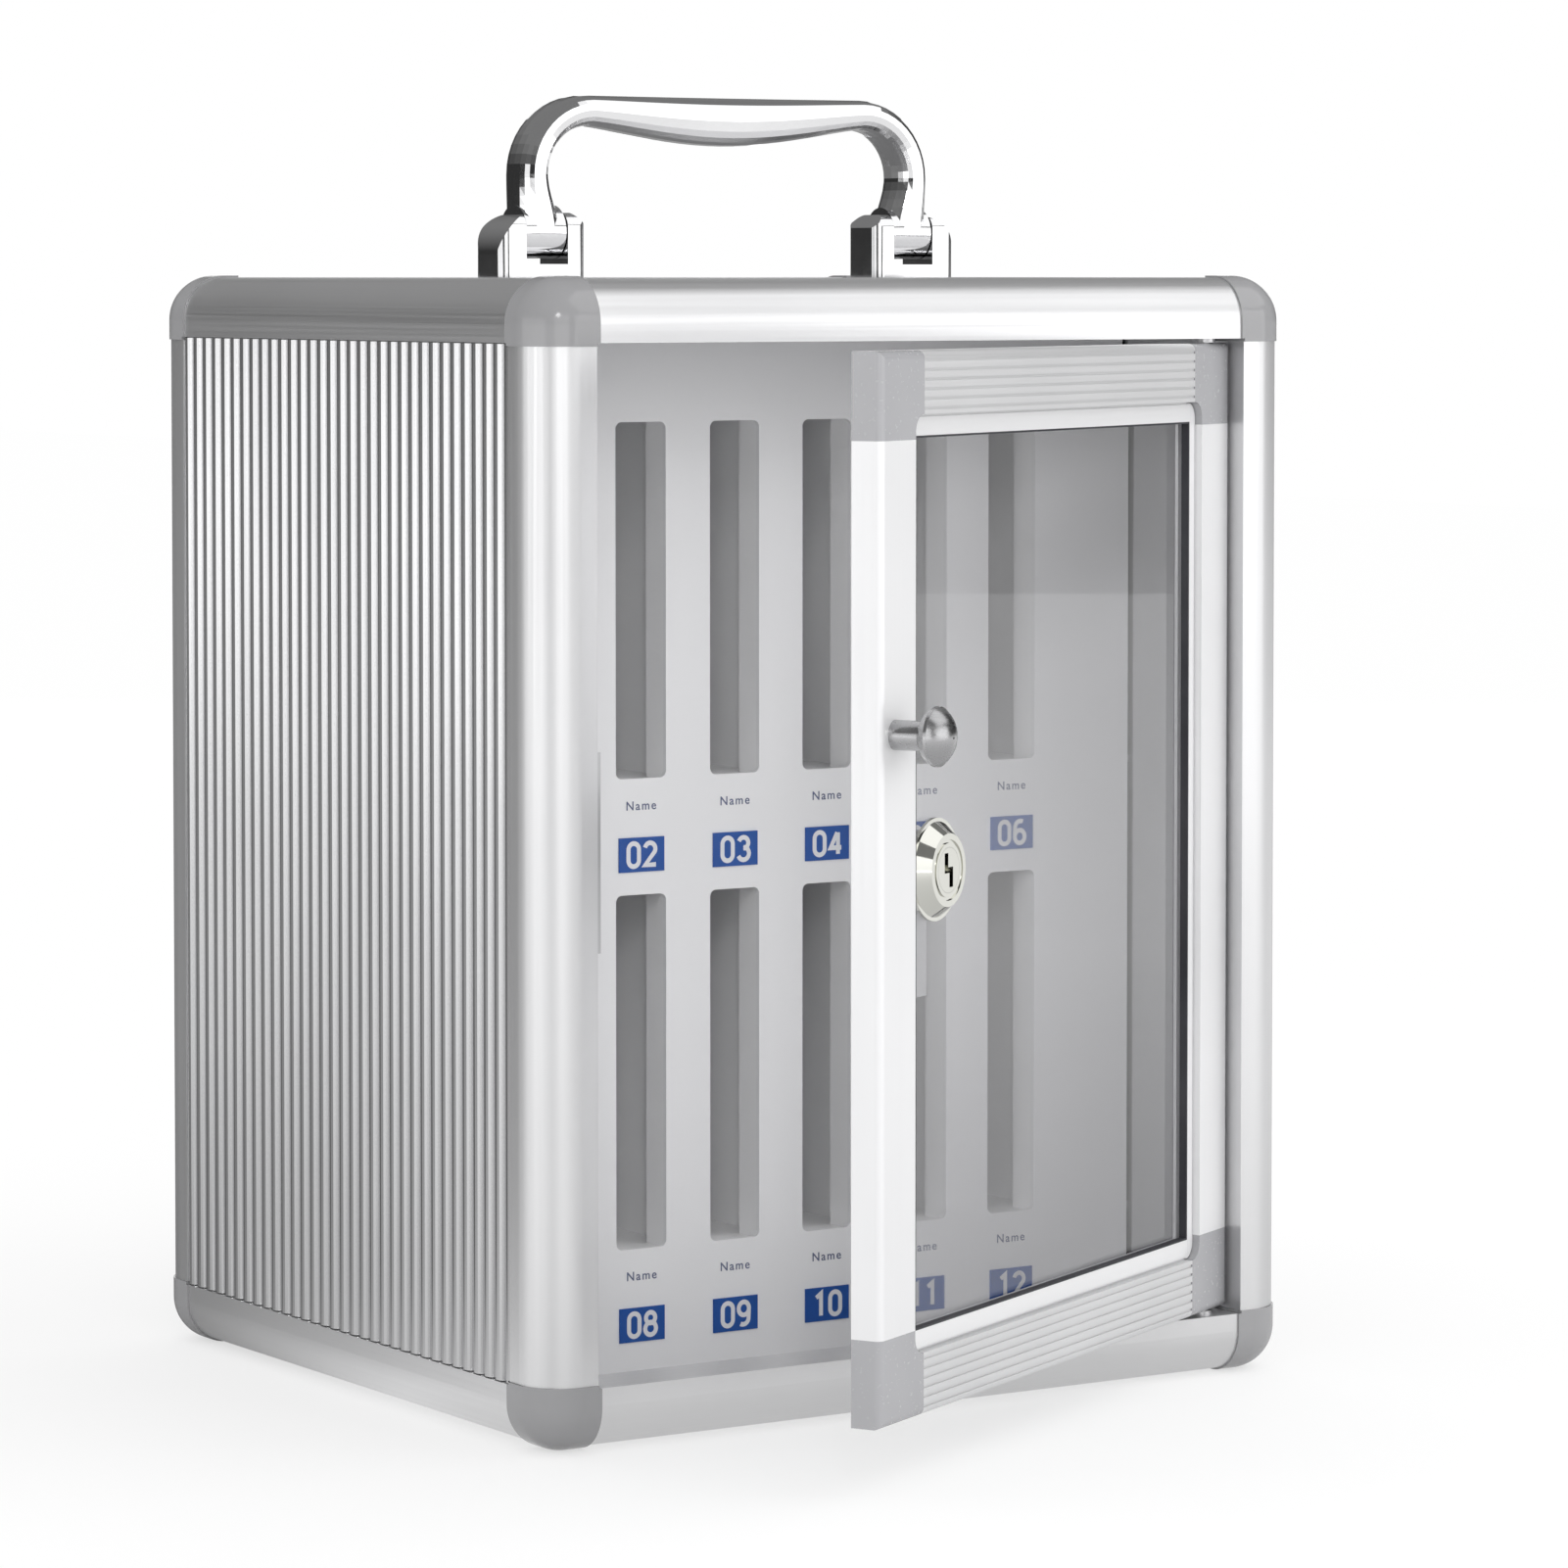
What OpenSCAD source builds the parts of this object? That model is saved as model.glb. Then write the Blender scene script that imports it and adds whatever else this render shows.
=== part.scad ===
// Cell phone locker box: an aluminium carry case with a glazed, lockable door and slots for phones.
// +Z is up, the door faces -Y, and the origin is the middle of the footprint on the table.

/* [Case] */
// Width of the case over its edge bars
case_w = 230; // [208:1:300]
// Depth of the case over its edge bars
case_d = 207; // [170:1:260]
// Height of the case over its edge bars
case_h = 290; // [275:1:360]
// Side of the square edge bar
bar = 16; // [14:0.5:20]
// Radius of the edge bar's outer corner
bar_r = 11.5; // [8:0.5:12]
// Wall of the hollow edge bar
bar_wall = 1.6; // [1.2:0.1:2]
// How far a corner cap reaches past the bar's side along each edge
cap_reach = 0.8; // [0.4:0.1:4]
// How far a corner cap stands proud of the bars
cap_proud = 0.5; // [0.2:0.1:1]

/* [Panels] */
// Thickness of the case panels
panel_t = 1.8; // [1.2:0.1:2.4]
// Depth of a panel's flat face below the face of the bars
panel_inset = 1.2; // [0.8:0.1:1.6]
// How far a panel runs into the bars' grooves
tongue = 2.4; // [2:0.1:3]
// Height of a rib on a ribbed panel
rib_h = 1.1; // [0.4:0.1:1.1]
// Distance between ribs
rib_pitch = 5.4; // [4:0.1:8]
// Width of a rib at its foot
rib_w = 3.8; // [2:0.1:3.9]

/* [Slots] */
// Number of slot columns
columns = 6; // [2:1:6]
// Distance between slot columns
column_pitch = 28.9; // [24:0.1:32]
// Width of a phone slot
slot_w = 15.3; // [12:0.1:20]
// Height of a phone slot
slot_h = 93; // [80:1:100]
// Height of the lower slots' bottom above the case's underside
slot_low = 36.1; // [32:0.1:44]
// Distance between the two rows of slots
row_pitch = 123.4; // [122:0.1:140]
// Depth of the slot panel behind the front of the case
slot_recess = 71; // [60:1:90]
// Thickness of the slot panel
slot_panel_t = 1.5; // [1:0.1:3]
// Depth of the divider's rim beside a slot
rim_depth = 8.5; // [5:0.5:15]
// Wall of a divider
divider_t = 1.5; // [1:0.1:2.5]
// Thickness of a shelf
shelf_t = 2; // [1.5:0.1:3]
// Width of a number plate
plate_w = 13.8; // [10:0.1:15]
// Height of a number plate
plate_h = 9; // [7:0.1:10]
// Drop from a slot's bottom to the top of its number plate
plate_drop = 15.4; // [12:0.1:18]

/* [Door] */
// How far the door stands open from closed, in degrees
door_open = 28.5; // [0:0.5:110]
// Gap between the door and the sides of its opening
door_side_gap = 0.6; // [0.5:0.1:2]
// Gap above and below the door
door_end_gap = 1.2; // [1:0.1:2]
// Depth of the closed door's face behind the front of the case
door_recess = 2; // [0:0.5:4]
// Thickness of the door frame
door_t = 8; // [7.8:0.1:12]
// Radius of the door frame's outer edge
door_edge_r = 2; // [1:0.5:3]
// Width of a rail's raised band
band_w = 15.2; // [13:0.1:18]
// Width of a rail's lower bead beside the glass
bead_w = 5.2; // [4.4:0.1:7]
// Width of a stile's raised band
stile_band = 17.6; // [15:0.1:18]
// Width of a stile's lower bead beside the glass
stile_bead = 3.6; // [3.4:0.1:4]
// Depth of the bead below the band
bead_drop = 1.9; // [1:0.1:2]
// Thickness of the glass
glass_t = 3; // [2:0.1:3.2]
// How far a plastic corner piece runs on past the frame's width
corner_lip = 0.8; // [0.4:0.1:3]
// Distance from the door's hinge edge to its pivot
pivot_edge = 8; // [6:0.5:10]
// Radius of the pivot pins
pivot_r = 1.5; // [1:0.1:2]

/* [Lock and knob] */
// Distance from the door's free edge to the lock
lock_edge = 34.6; // [34.4:0.1:50]
// Height of the lock above the case's underside
lock_z = 147.5; // [100:1:200]
// Radius of the lock's bezel at the glass
lock_r = 12.5; // [10:0.1:12.5]
// Radius of the lock's barrel
barrel_r = 8; // [7:0.1:9]
// Radius of the turning plug
plug_r = 5.5; // [4:0.1:6]
// Reach of the cam from the lock's axis to its tip
cam_reach = 31.2; // [30:0.1:33]
// Width of the cam
cam_w = 8.4; // [6:0.1:12]
// Distance from the door's free edge to the knob
knob_edge = 7; // [6.4:0.1:9]
// Height of the knob above the case's underside
knob_z = 182; // [178:1:220]
// Radius of the knob's head
knob_r = 7.2; // [5:0.1:9]
// Radius of the knob's neck
knob_neck_r = 3.6; // [3:0.1:4]
// Length of the knob
knob_len = 15.6; // [12:0.1:20]

/* [Handle] */
// Distance between the middles of the handle's two legs
leg_span = 119.2; // [100:0.1:130]
// Height of the grip's top above the case
handle_h = 48; // [40:1:60]
// Distance of the handle in front of the middle of the case
handle_front = 2; // [0:0.5:20]
// Height of the handle's pivots above the case
handle_pivot_h = 12; // [10:0.5:13]
// Thickness of a leg, seen from the front
leg_t = 8.2; // [6:0.1:10]
// Width of the handle from front to back
leg_depth = 14.4; // [10:0.1:15]
// Thickness of the middle of the grip
grip_t = 13; // [9:0.1:15]
// Length of a bracket along the handle
bracket_len = 26; // [24:1:32]
// Width of a bracket from front to back
bracket_d = 14.6; // [14.4:0.1:20]
// Height of a bracket above the case
bracket_h = 17; // [15:0.5:20]
// Radius of a bracket's upright corners
bracket_r = 2.8; // [1:0.1:3.2]
// Radius of a handle pivot pin
handle_pin_r = 2; // [1.5:0.1:2.5]

/* [Hidden] */
$fn = 64;
eps = 0.01;
// Clearance round a panel in its groove
groove_gap = 0.1;
// Running clearance of a pin in its bore
run_gap = 0.05;
base = cap_proud;
top = base + case_h;
front = -case_d / 2;
back = case_d / 2;
inner_w = case_w - 2 * bar;
inner_d = case_d - 2 * bar;
inner_h = case_h - 2 * bar;
// Distance from the bars' outer face to a panel's inner face
panel_in = panel_inset + panel_t;
groove_d = tongue + 0.2;
// Depth of the groove's own wall below the bars' outer face
pocket = panel_in + groove_gap + bar_wall;
cap_r = bar_r + cap_proud;
cap_len = bar + cap_reach;
// The cap's pegs lie between the groove walls and the bar's inner wall
peg_from = pocket + 0.2;
peg_side = bar - bar_wall - 1.8 - peg_from;
peg_len = bar + door_side_gap + pivot_edge - cap_len - pivot_r - 0.5;
clip = cap_len - bar + tongue + 0.2;
FRONT_BACK = [-1, 1];
SIDES = [-1, 1];

slot_y = front + slot_recess;
slot_back = slot_y + slot_panel_t;
room_back = back - panel_in;
room_half = case_w / 2 - panel_in;
room_floor = base + panel_in;
// How far a bar reaches into the room past the panels' inner faces
corner_fill = bar - panel_in + 0.2;
room_top = top - panel_in;
slot_r = 1.8;
// The slot panel stands clear of the side panels
slot_side_gap = 0.9;
shelf_drop = 0.6;
low_shelf_z = base + slot_low - shelf_drop;
mid_shelf_z = low_shelf_z + row_pitch;
roof_z = base + slot_low + row_pitch + slot_h + shelf_drop;
web_w = column_pitch - slot_w;
notch_len = 12;
plate_t = 0.4;

door_w = inner_w - 2 * door_side_gap;
door_h = inner_h - 2 * door_end_gap;
door_z = base + bar + door_end_gap;
door_x = -door_w / 2;
door_y = front + door_recess;
pivot_x = door_w / 2 - pivot_edge;
pivot_y = door_y + door_t / 2;
frame_w = band_w + bead_w;
stile_w = stile_band + stile_bead;
corner_x = stile_w + corner_lip;
corner_z = frame_w + corner_lip;
frame_wall = 1.4;
bead_lip = 2;
glass_gap = 0.1;
glass_d = bead_drop + bead_lip + glass_gap;
glass_grip = 3;
glass_play = 0.8;
glass_x = stile_w - glass_grip;
glass_z = frame_w - glass_grip;
// A small quirk marks the foot of the band
quirk_w = 0.7;
quirk_d = 0.5;
notch_r = 4.2;
notch_gap = 0.3;
plug_in = 12;
collar_r = 3;
collar_gap = 0.2;
pin_in_rail = 8;
pin_in_door = 9;
rail_grooves = 6;
groove_w = 0.7;
groove_depth = 0.35;
gasket_w = 0.5;

face_d = -0.15;
barrel_end = door_t + 1;
cam_d = door_t + 2;
cam_t = 2;
tail_r = 3.2;
tail_flat = 2.4;
nut_r = 11;
nut_t = 2.2;
strike_t = 1.4;
strike_gap = 0.3;
strike_len = 50;
strike_reach = 7;
strike_leg = 3.8;
lock_x = door_x + lock_edge;
lock_h = base + lock_z;
knob_x = door_x + knob_edge;
knob_h = base + knob_z;
knob_rise = 3.8;

panel_top = top - panel_inset;
handle_z = top + handle_pivot_h;
handle_top = top + handle_h;
eye_r = 7;
eye_w = 12;
eye_gap = 0.3;
slot_floor = 3.5;
handle_pin_len = eye_w + 5;
leg_x = leg_span / 2;
leg_out = leg_x + leg_t / 2;
// The eye is flush with the leg's outer face, and the leg flares inwards above it
eye_x = leg_out - eye_w / 2;
flare_h = 15;
bend_r = 21;
grip_half = leg_out - bend_r;
bracket_out = leg_out + eye_gap + 7.5;
bracket_in = bracket_out - bracket_len;

CAPS = [for (z = [0, 1]) for (y = [0, 1]) for (x = [0, 1]) [x, y, z]];
CAP_NAMES = [for (c = CAPS) str("cap_", c[2] == 0 ? "bottom" : "top", "_",
    c[1] == 0 ? "front" : "rear", "_", c[0] == 0 ? "left" : "right")];

// A square with one rounded corner at the origin
module soft_square(side, r) {
    difference() {
        square([side, side]);
        difference() {
            translate([-1, -1])
                square([r + 1, r + 1]);
            translate([r, r])
                circle(r);
        }
    }
}

// Section of the hollow edge bar, with its outer corner at the origin. A groove has a wall of its own.
module bar_section(groove_u, groove_v) {
    difference() {
        soft_square(bar, bar_r);
        difference() {
            translate([bar_wall, bar_wall])
                soft_square(bar - 2 * bar_wall, bar_r - bar_wall);
            if (groove_v)
                translate([0, bar - groove_d - bar_wall])
                    square([pocket, groove_d + bar_wall]);
            if (groove_u)
                translate([bar - groove_d - bar_wall, 0])
                    square([groove_d + bar_wall, pocket]);
        }
        if (groove_v)
            translate([panel_inset - groove_gap, bar - groove_d])
                square([panel_t + 2 * groove_gap, groove_d + 1]);
        if (groove_u)
            translate([bar - groove_d, panel_inset - groove_gap])
                square([groove_d + 1, panel_t + 2 * groove_gap]);
    }
}

// Turns a shape built in the lower left front corner towards another corner
module to_corner(sx, sy, sz) {
    translate([sx * case_w / 2, sy * case_d / 2, sz < 0 ? base : top])
        mirror([sx > 0 ? 1 : 0, 0, 0])
            mirror([0, sy > 0 ? 1 : 0, 0])
                mirror([0, 0, sz > 0 ? 1 : 0])
                    children();
}

module post(sx, sy) {
    color("silver")
        to_corner(sx, sy, -1)
            translate([0, 0, cap_len])
                linear_extrude(case_h - 2 * cap_len)
                    bar_section(sy > 0, true);
}

// Hole in a front rail for a door pivot pin
module pin_hole() {
    translate([pivot_x, pivot_y, 0])
        cylinder(r = pivot_r + run_gap, h = 3 * bar, center = true);
}

module rail_x(sy, sz) {
    color("silver")
        difference() {
            to_corner(-1, sy, sz)
                translate([cap_len, 0, 0])
                    rotate([90, 0, 90])
                        linear_extrude(case_w - 2 * cap_len)
                            bar_section(true, sy > 0);
            if (sy < 0)
                intersection() {
                    translate([0, 0, sz < 0 ? base + bar : top - bar])
                        pin_hole();
                    translate([0, 0, sz < 0 ? base + bar : top - bar])
                        cube([case_w, case_d, 2 * bar_wall + 2], center = true);
                }
        }
}

module rail_y(sx, sz) {
    color("silver")
        to_corner(sx, -1, sz)
            translate([0, case_d - cap_len, 0])
                rotate([90, 0, 0])
                    linear_extrude(case_d - 2 * cap_len)
                        bar_section(true, true);
}

// The stretch of a corner cap along one edge, from the ball to the seam
module cap_arm() {
    translate([0, 0, bar_r])
        linear_extrude(cap_len - bar_r)
            translate([-cap_proud, -cap_proud])
                soft_square(bar + cap_proud, cap_r);
}

// A peg that plugs into the hollow end of an edge bar
module cap_peg() {
    translate([peg_from, peg_from, cap_len - 1])
        cube([peg_side, peg_side, peg_len + 1]);
}

module cap(c) {
    color("dimgray")
        to_corner(c[0] == 0 ? -1 : 1, c[1] == 0 ? -1 : 1, c[2] == 0 ? -1 : 1)
            union() {
                intersection() {
                    translate([bar_r, bar_r, bar_r])
                        rotate([90, 0, 45])
                            sphere(cap_r);
                    translate([-cap_proud, -cap_proud, -cap_proud])
                        cube(cap_r + eps);
                }
                for (turn = [[0, 0, 0], [90, 0, 90], [0, -90, -90]])
                    rotate(turn) {
                        cap_arm();
                        cap_peg();
                    }
            }
}

// Outline of a ribbed sheet along its width, with the ribs towards -y. Ribs are cut off at the bars.
function rib_points(count, half) = [
    for (i = [-count:count])
        for (a = [0:30:180])
            [min(half, max(-half, i * rib_pitch - rib_w / 2 * cos(a))), -rib_h * sin(a)]
];

module ribbed_sheet(width, height) {
    count = floor((width / 2 - 0.6) / rib_pitch);
    full = width + 2 * tongue;
    tall = height + 2 * tongue;
    difference() {
        translate([0, 0, -tall / 2])
            linear_extrude(tall)
                polygon(concat([[-full / 2, panel_t], [-full / 2, 0]], rib_points(count, width / 2 - 0.1),
                    [[full / 2, 0], [full / 2, panel_t]]));
        // The ribs stop at the bars, so that only the flat sheet enters the grooves
        for (s = SIDES)
            translate([0, -rib_h, s * (tall / 2)])
                cube([full + 2, 2 * rib_h, 2 * (tongue + 0.3)], center = true);
        corner_clips(full, tall);
    }
}

// Corners cut from a panel where the corner caps sit
module corner_clips(full, tall) {
    for (sx = SIDES)
        for (sz = SIDES)
            translate([sx * full / 2, 0, sz * tall / 2])
                cube([2 * clip, 4 * panel_t + 2 * rib_h, 2 * clip], center = true);
}

module panel_side(sx) {
    color("lightgray")
        translate([sx * (case_w / 2 - panel_inset), 0, base + case_h / 2])
            rotate([0, 0, sx * 90])
                ribbed_sheet(inner_d, inner_h);
}

module panel_back() {
    color("lightgray")
        translate([0, back - panel_inset, base + case_h / 2])
            rotate([0, 0, 180])
                ribbed_sheet(inner_w, inner_h);
}

module flat_sheet() {
    full_x = inner_w + 2 * tongue;
    full_y = inner_d + 2 * tongue;
    difference() {
        translate([-full_x / 2, -full_y / 2, 0])
            cube([full_x, full_y, panel_t]);
        rotate([90, 0, 0])
            corner_clips(full_x, full_y);
    }
}

module panel_bottom() {
    color("lightgray")
        translate([0, 0, base + panel_inset])
            flat_sheet();
}

module panel_top() {
    color("lightgray")
        difference() {
            translate([0, 0, panel_top - panel_t])
                flat_sheet();
            for (p = screw_spots())
                translate([p[0], p[1], panel_top - 2 * panel_t])
                    cylinder(r = screw_r + 0.2, h = 3 * panel_t);
        }
}

// Slot openings, as columns and rows of rounded rectangles
module each_slot() {
    for (row = [0, 1])
        for (i = [0:columns - 1])
            translate([(i - (columns - 1) / 2) * column_pitch, 0, base + slot_low + row * row_pitch])
                children();
}

module slot_outline() {
    translate([0, slot_h / 2])
        union() {
            square([slot_w, slot_h - 2 * slot_r], center = true);
            square([slot_w - 2 * slot_r, slot_h], center = true);
            for (sx = SIDES)
                for (sy = SIDES)
                    translate([sx * (slot_w / 2 - slot_r), sy * (slot_h / 2 - slot_r)])
                        circle(slot_r, $fn = 32);
        }
}

module slot_panel() {
    color("gainsboro")
        difference() {
            translate([slot_side_gap - room_half, slot_y, room_floor])
                cube([2 * (room_half - slot_side_gap), slot_panel_t, room_top - room_floor]);
            // The side rails fill the corners of the room
            for (s = SIDES)
                for (z = [room_floor, room_top])
                    translate([s * room_half, slot_y, z])
                        cube([2 * corner_fill, 4 * slot_panel_t, 2 * corner_fill], center = true);
            each_slot()
                translate([0, slot_back + 1, 0])
                    rotate([90, 0, 0])
                        linear_extrude(slot_panel_t + 2)
                            slot_outline();
        }
}

// A divider is a hollow rim behind the panel with a web that runs back between two phones
module divider() {
    foot = low_shelf_z;
    tall = roof_z - foot;
    difference() {
        translate([0, 0, foot])
            linear_extrude(tall)
                difference() {
                    union() {
                        translate([-web_w / 2, slot_back])
                            square([web_w, rim_depth]);
                        translate([-divider_t / 2, slot_back + rim_depth - eps])
                            square([divider_t, room_back - slot_back - rim_depth + eps]);
                    }
                    translate([-web_w / 2 + divider_t, slot_back + divider_t])
                        square([web_w - 2 * divider_t, rim_depth - 2 * divider_t]);
                }
        // The middle shelf passes through a notch in the rear of the web
        translate([-web_w, room_back - notch_len, mid_shelf_z - shelf_t - 0.1])
            cube([2 * web_w, notch_len + 1, shelf_t + 0.2]);
    }
}

module dividers() {
    color("darkgray")
        for (i = [0:columns])
            translate([(i - columns / 2) * column_pitch, 0, 0])
                divider();
}

// A shelf lies between the slot panel and the back, under the phones
module shelf(z) {
    difference() {
        translate([-room_half, slot_back, z])
            cube([2 * room_half, room_back - slot_back, shelf_t]);
        // The rear posts fill the corners of the room
        for (s = SIDES)
            translate([s * room_half, room_back, z])
                cube([2 * corner_fill, 2 * corner_fill, 4 * shelf_t], center = true);
    }
}

module low_shelf() {
    color("darkgray")
        shelf(low_shelf_z - shelf_t);
}

module roof_shelf() {
    color("darkgray")
        shelf(roof_z);
}

// The middle shelf is slotted from the front, so that it slides over the dividers
module mid_shelf() {
    color("darkgray")
        difference() {
            shelf(mid_shelf_z - shelf_t);
            for (i = [0:columns])
                translate([(i - columns / 2) * column_pitch, slot_back - 1, mid_shelf_z - 2 * shelf_t]) {
                    translate([-web_w / 2 - 0.1, 0, 0])
                        cube([web_w + 0.2, rim_depth + 1.1, 3 * shelf_t]);
                    translate([-divider_t / 2 - 0.1, 0, 0])
                        cube([divider_t + 0.2, room_back - notch_len - slot_back + 1.1, 3 * shelf_t]);
                }
        }
}

module number_plates() {
    color("royalblue")
        each_slot()
            translate([-plate_w / 2, slot_y - plate_t, -plate_drop - plate_h])
                cube([plate_w, plate_t, plate_h]);
}

// Turns a piece of the closed door about its pivot to where the door stands
module on_door() {
    translate([pivot_x, pivot_y, 0])
        rotate([0, 0, door_open])
            translate([-pivot_x, -pivot_y, 0])
                children();
}

// A round piece whose axis runs straight in through the door, at a depth behind its face
module through_door(x, z, depth) {
    translate([x, door_y + depth, z])
        rotate([-90, 0, 0])
            children();
}

// Section of a frame member: x runs in from its outer edge, y runs back from its face
module frame_section(band, bead, grooved) {
    difference() {
        union() {
            soft_rect(band, door_t, door_edge_r);
            translate([band - eps, bead_drop])
                square([bead + eps, door_t - bead_drop]);
        }
        translate([frame_wall, frame_wall])
            square([band - 2 * frame_wall, door_t - 2 * frame_wall]);
        translate([band + bead - glass_grip - glass_play, glass_d - glass_gap])
            square([band, glass_t + 2 * glass_gap]);
        translate([band, bead_drop - 1])
            square([quirk_w, quirk_d + 1]);
        if (grooved)
            for (i = [1:rail_grooves])
                translate([i * band / (rail_grooves + 0.6), 0])
                    square([groove_w, 2 * groove_depth], center = true);
    }
}

// A rectangle with one rounded corner at the origin
module soft_rect(w, h, r) {
    difference() {
        square([w, h]);
        difference() {
            translate([-1, -1])
                square([r + 1, r + 1]);
            translate([r, r])
                circle(r);
        }
    }
}

module stile(sx) {
    hand = sx > 0 ? 1 : 0;
    on_door()
        difference() {
            mirror([hand, 0, 0])
                translate([-door_w / 2, door_y, door_z]) {
                    translate([0, 0, corner_z])
                        linear_extrude(door_h - 2 * corner_z)
                            frame_section(stile_band, stile_bead, false);
                    for (s = [0, 1])
                        translate([0, 0, s * door_h])
                            mirror([0, 0, s])
                                bead_end(0, stile_w, corner_z);
                }
            if (sx < 0)
                through_door(knob_x, knob_h, -1)
                    cylinder(r = screw_r + 0.1, h = door_t + 2);
        }
}

// The notch in a corner piece, into which the stile's bead runs on
module notch_outline(gap) {
    edge_x = stile_band + gap;
    edge_z = band_w + gap;
    difference() {
        translate([edge_x, edge_z])
            square([corner_x - edge_x + 1, corner_z - edge_z + 1]);
        translate([edge_x - 1, edge_z - 1])
            difference() {
                square([notch_r + 1, notch_r + 1]);
                translate([notch_r + 1, notch_r + 1])
                    circle(notch_r);
            }
    }
}

module rail(sz) {
    hand = sz > 0 ? 1 : 0;
    on_door()
        translate([0, door_y, door_z + door_h / 2])
            mirror([0, 0, hand])
                translate([0, 0, -door_h / 2]) {
                    translate([corner_x - door_w / 2, 0, 0])
                        rotate([90, 0, 90])
                            linear_extrude(door_w - 2 * corner_x)
                                mirror([1, -1, 0])
                                    frame_section(band_w, bead_w, true);
                    for (s = [0, 1])
                        mirror([s, 0, 0])
                            translate([-door_w / 2, 0, 0])
                                bead_end(stile_w, corner_x, frame_w);
                }
}

// The end of a bead in the corner piece's notch, between two places along the rail and up to a height
module bead_end(from, to, high) {
    difference() {
        intersection() {
            translate([0, door_t, 0])
                rotate([90, 0, 0])
                    linear_extrude(door_t - bead_drop)
                        notch_outline(notch_gap);
            translate([from, 0, 0])
                cube([to - from, door_t, high]);
        }
        translate([glass_x - glass_play, glass_d - glass_gap, glass_z - glass_play])
            cube([corner_x, glass_t + 2 * glass_gap, corner_z]);
    }
}

// A corner piece joins a stile and a rail with two pegs in their hollows
module door_corner(sx, sz) {
    peg_x = stile_band - 2 * frame_wall - 0.4;
    peg_z = band_w - 2 * frame_wall - 0.4;
    peg_t = door_t - 2 * frame_wall - 0.4;
    on_door()
        translate([0, door_y, door_z + door_h / 2])
            mirror([sx > 0 ? 1 : 0, 0, 0])
                mirror([0, 0, sz > 0 ? 1 : 0])
                    translate([-door_w / 2, 0, -door_h / 2])
                        difference() {
                            union() {
                                corner_block();
                                translate([frame_wall + 0.2, frame_wall + 0.2, corner_z - 1])
                                    cube([peg_x, peg_t, plug_in]);
                                translate([corner_x - 1, frame_wall + 0.2, frame_wall + 0.2])
                                    cube([plug_in, peg_t, peg_z]);
                            }
                            if (sx > 0)
                                translate([pivot_edge, door_t / 2, -1])
                                    cylinder(r = pivot_r + run_gap, h = pin_in_door + 2);
                        }
}

module corner_block() {
    difference() {
        intersection() {
            linear_extrude(corner_z)
                soft_rect(corner_x, door_t, door_edge_r);
            rotate([90, 0, 90])
                linear_extrude(corner_x)
                    mirror([1, -1, 0])
                        soft_rect(corner_z, door_t, door_edge_r);
        }
        translate([0, door_t + 1, 0])
            rotate([90, 0, 0])
                linear_extrude(door_t + 2)
                    notch_outline(0);
    }
}

module door_glass() {
    color("lightblue", 0.3)
        on_door()
            difference() {
                translate([door_x + glass_x, door_y + glass_d, door_z + glass_z])
                    cube([door_w - 2 * glass_x, glass_t, door_h - 2 * glass_z]);
                through_door(lock_x, lock_h, glass_d - 1)
                    cylinder(r = barrel_r + 0.1, h = glass_t + 2);
            }
}

module glass_gasket() {
    color("black")
        on_door()
            translate([0, door_y + bead_drop + 0.05, door_z])
                difference() {
                    translate([door_x + stile_w, 0, frame_w])
                        cube([door_w - 2 * stile_w, glass_d - bead_drop - 0.05, door_h - 2 * frame_w]);
                    translate([door_x + stile_w + gasket_w, -1, frame_w + gasket_w])
                        cube([door_w - 2 * (stile_w + gasket_w), door_t, door_h - 2 * (frame_w + gasket_w)]);
                }
}

// The pivot pin stands in a front rail, with a collar that carries the door
module door_pin(sz) {
    color("gray")
        translate([pivot_x, pivot_y, sz < 0 ? base + bar : top - bar])
            mirror([0, 0, sz > 0 ? 1 : 0])
                union() {
                    translate([0, 0, -pin_in_rail])
                        cylinder(r = pivot_r, h = pin_in_rail + door_end_gap + pin_in_door);
                    cylinder(r = collar_r, h = door_end_gap - collar_gap);
                }
}

// Profile of the knob, with its axis up the page
module knob_profile() {
    rim = knob_len - knob_rise;
    difference() {
        union() {
            square([knob_neck_r, rim - 4]);
            polygon([[0, rim - 4.6], [knob_neck_r, rim - 4.3], [knob_r - 1.2, rim - 2.6], [knob_r, rim - 0.8],
                [knob_r, rim], [0, rim]]);
            intersection() {
                translate([0, knob_len - dome_r()])
                    circle(dome_r(), $fn = 96);
                translate([0, rim - eps])
                    square([knob_r, knob_len]);
            }
        }
        translate([-eps, -1])
            square([screw_r + run_gap, 7]);
    }
}

// Radius of the dome whose edge lies just inside the rim
function dome_r() = let (edge = knob_r - 0.1) (edge * edge + knob_rise * knob_rise) / (2 * knob_rise);

module door_knob() {
    color("gray")
        on_door()
            translate([knob_x, door_y, knob_h])
                rotate([90, 0, 0])
                    rotate_extrude($fn = 64)
                        intersection() {
                            knob_profile();
                            translate([0, -1])
                                square([knob_r + 1, knob_len + 2]);
                        }
}

screw_r = 1.95;
screw_head_r = 3.5;
screw_head_h = 1.6;

module knob_screw() {
    color("gray")
        on_door()
            through_door(knob_x, knob_h, -5)
                union() {
                    cylinder(r = screw_r, h = door_t + 5 + eps);
                    translate([0, 0, door_t + 5])
                        cylinder(r = screw_head_r, h = screw_head_h);
                }
}

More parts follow.
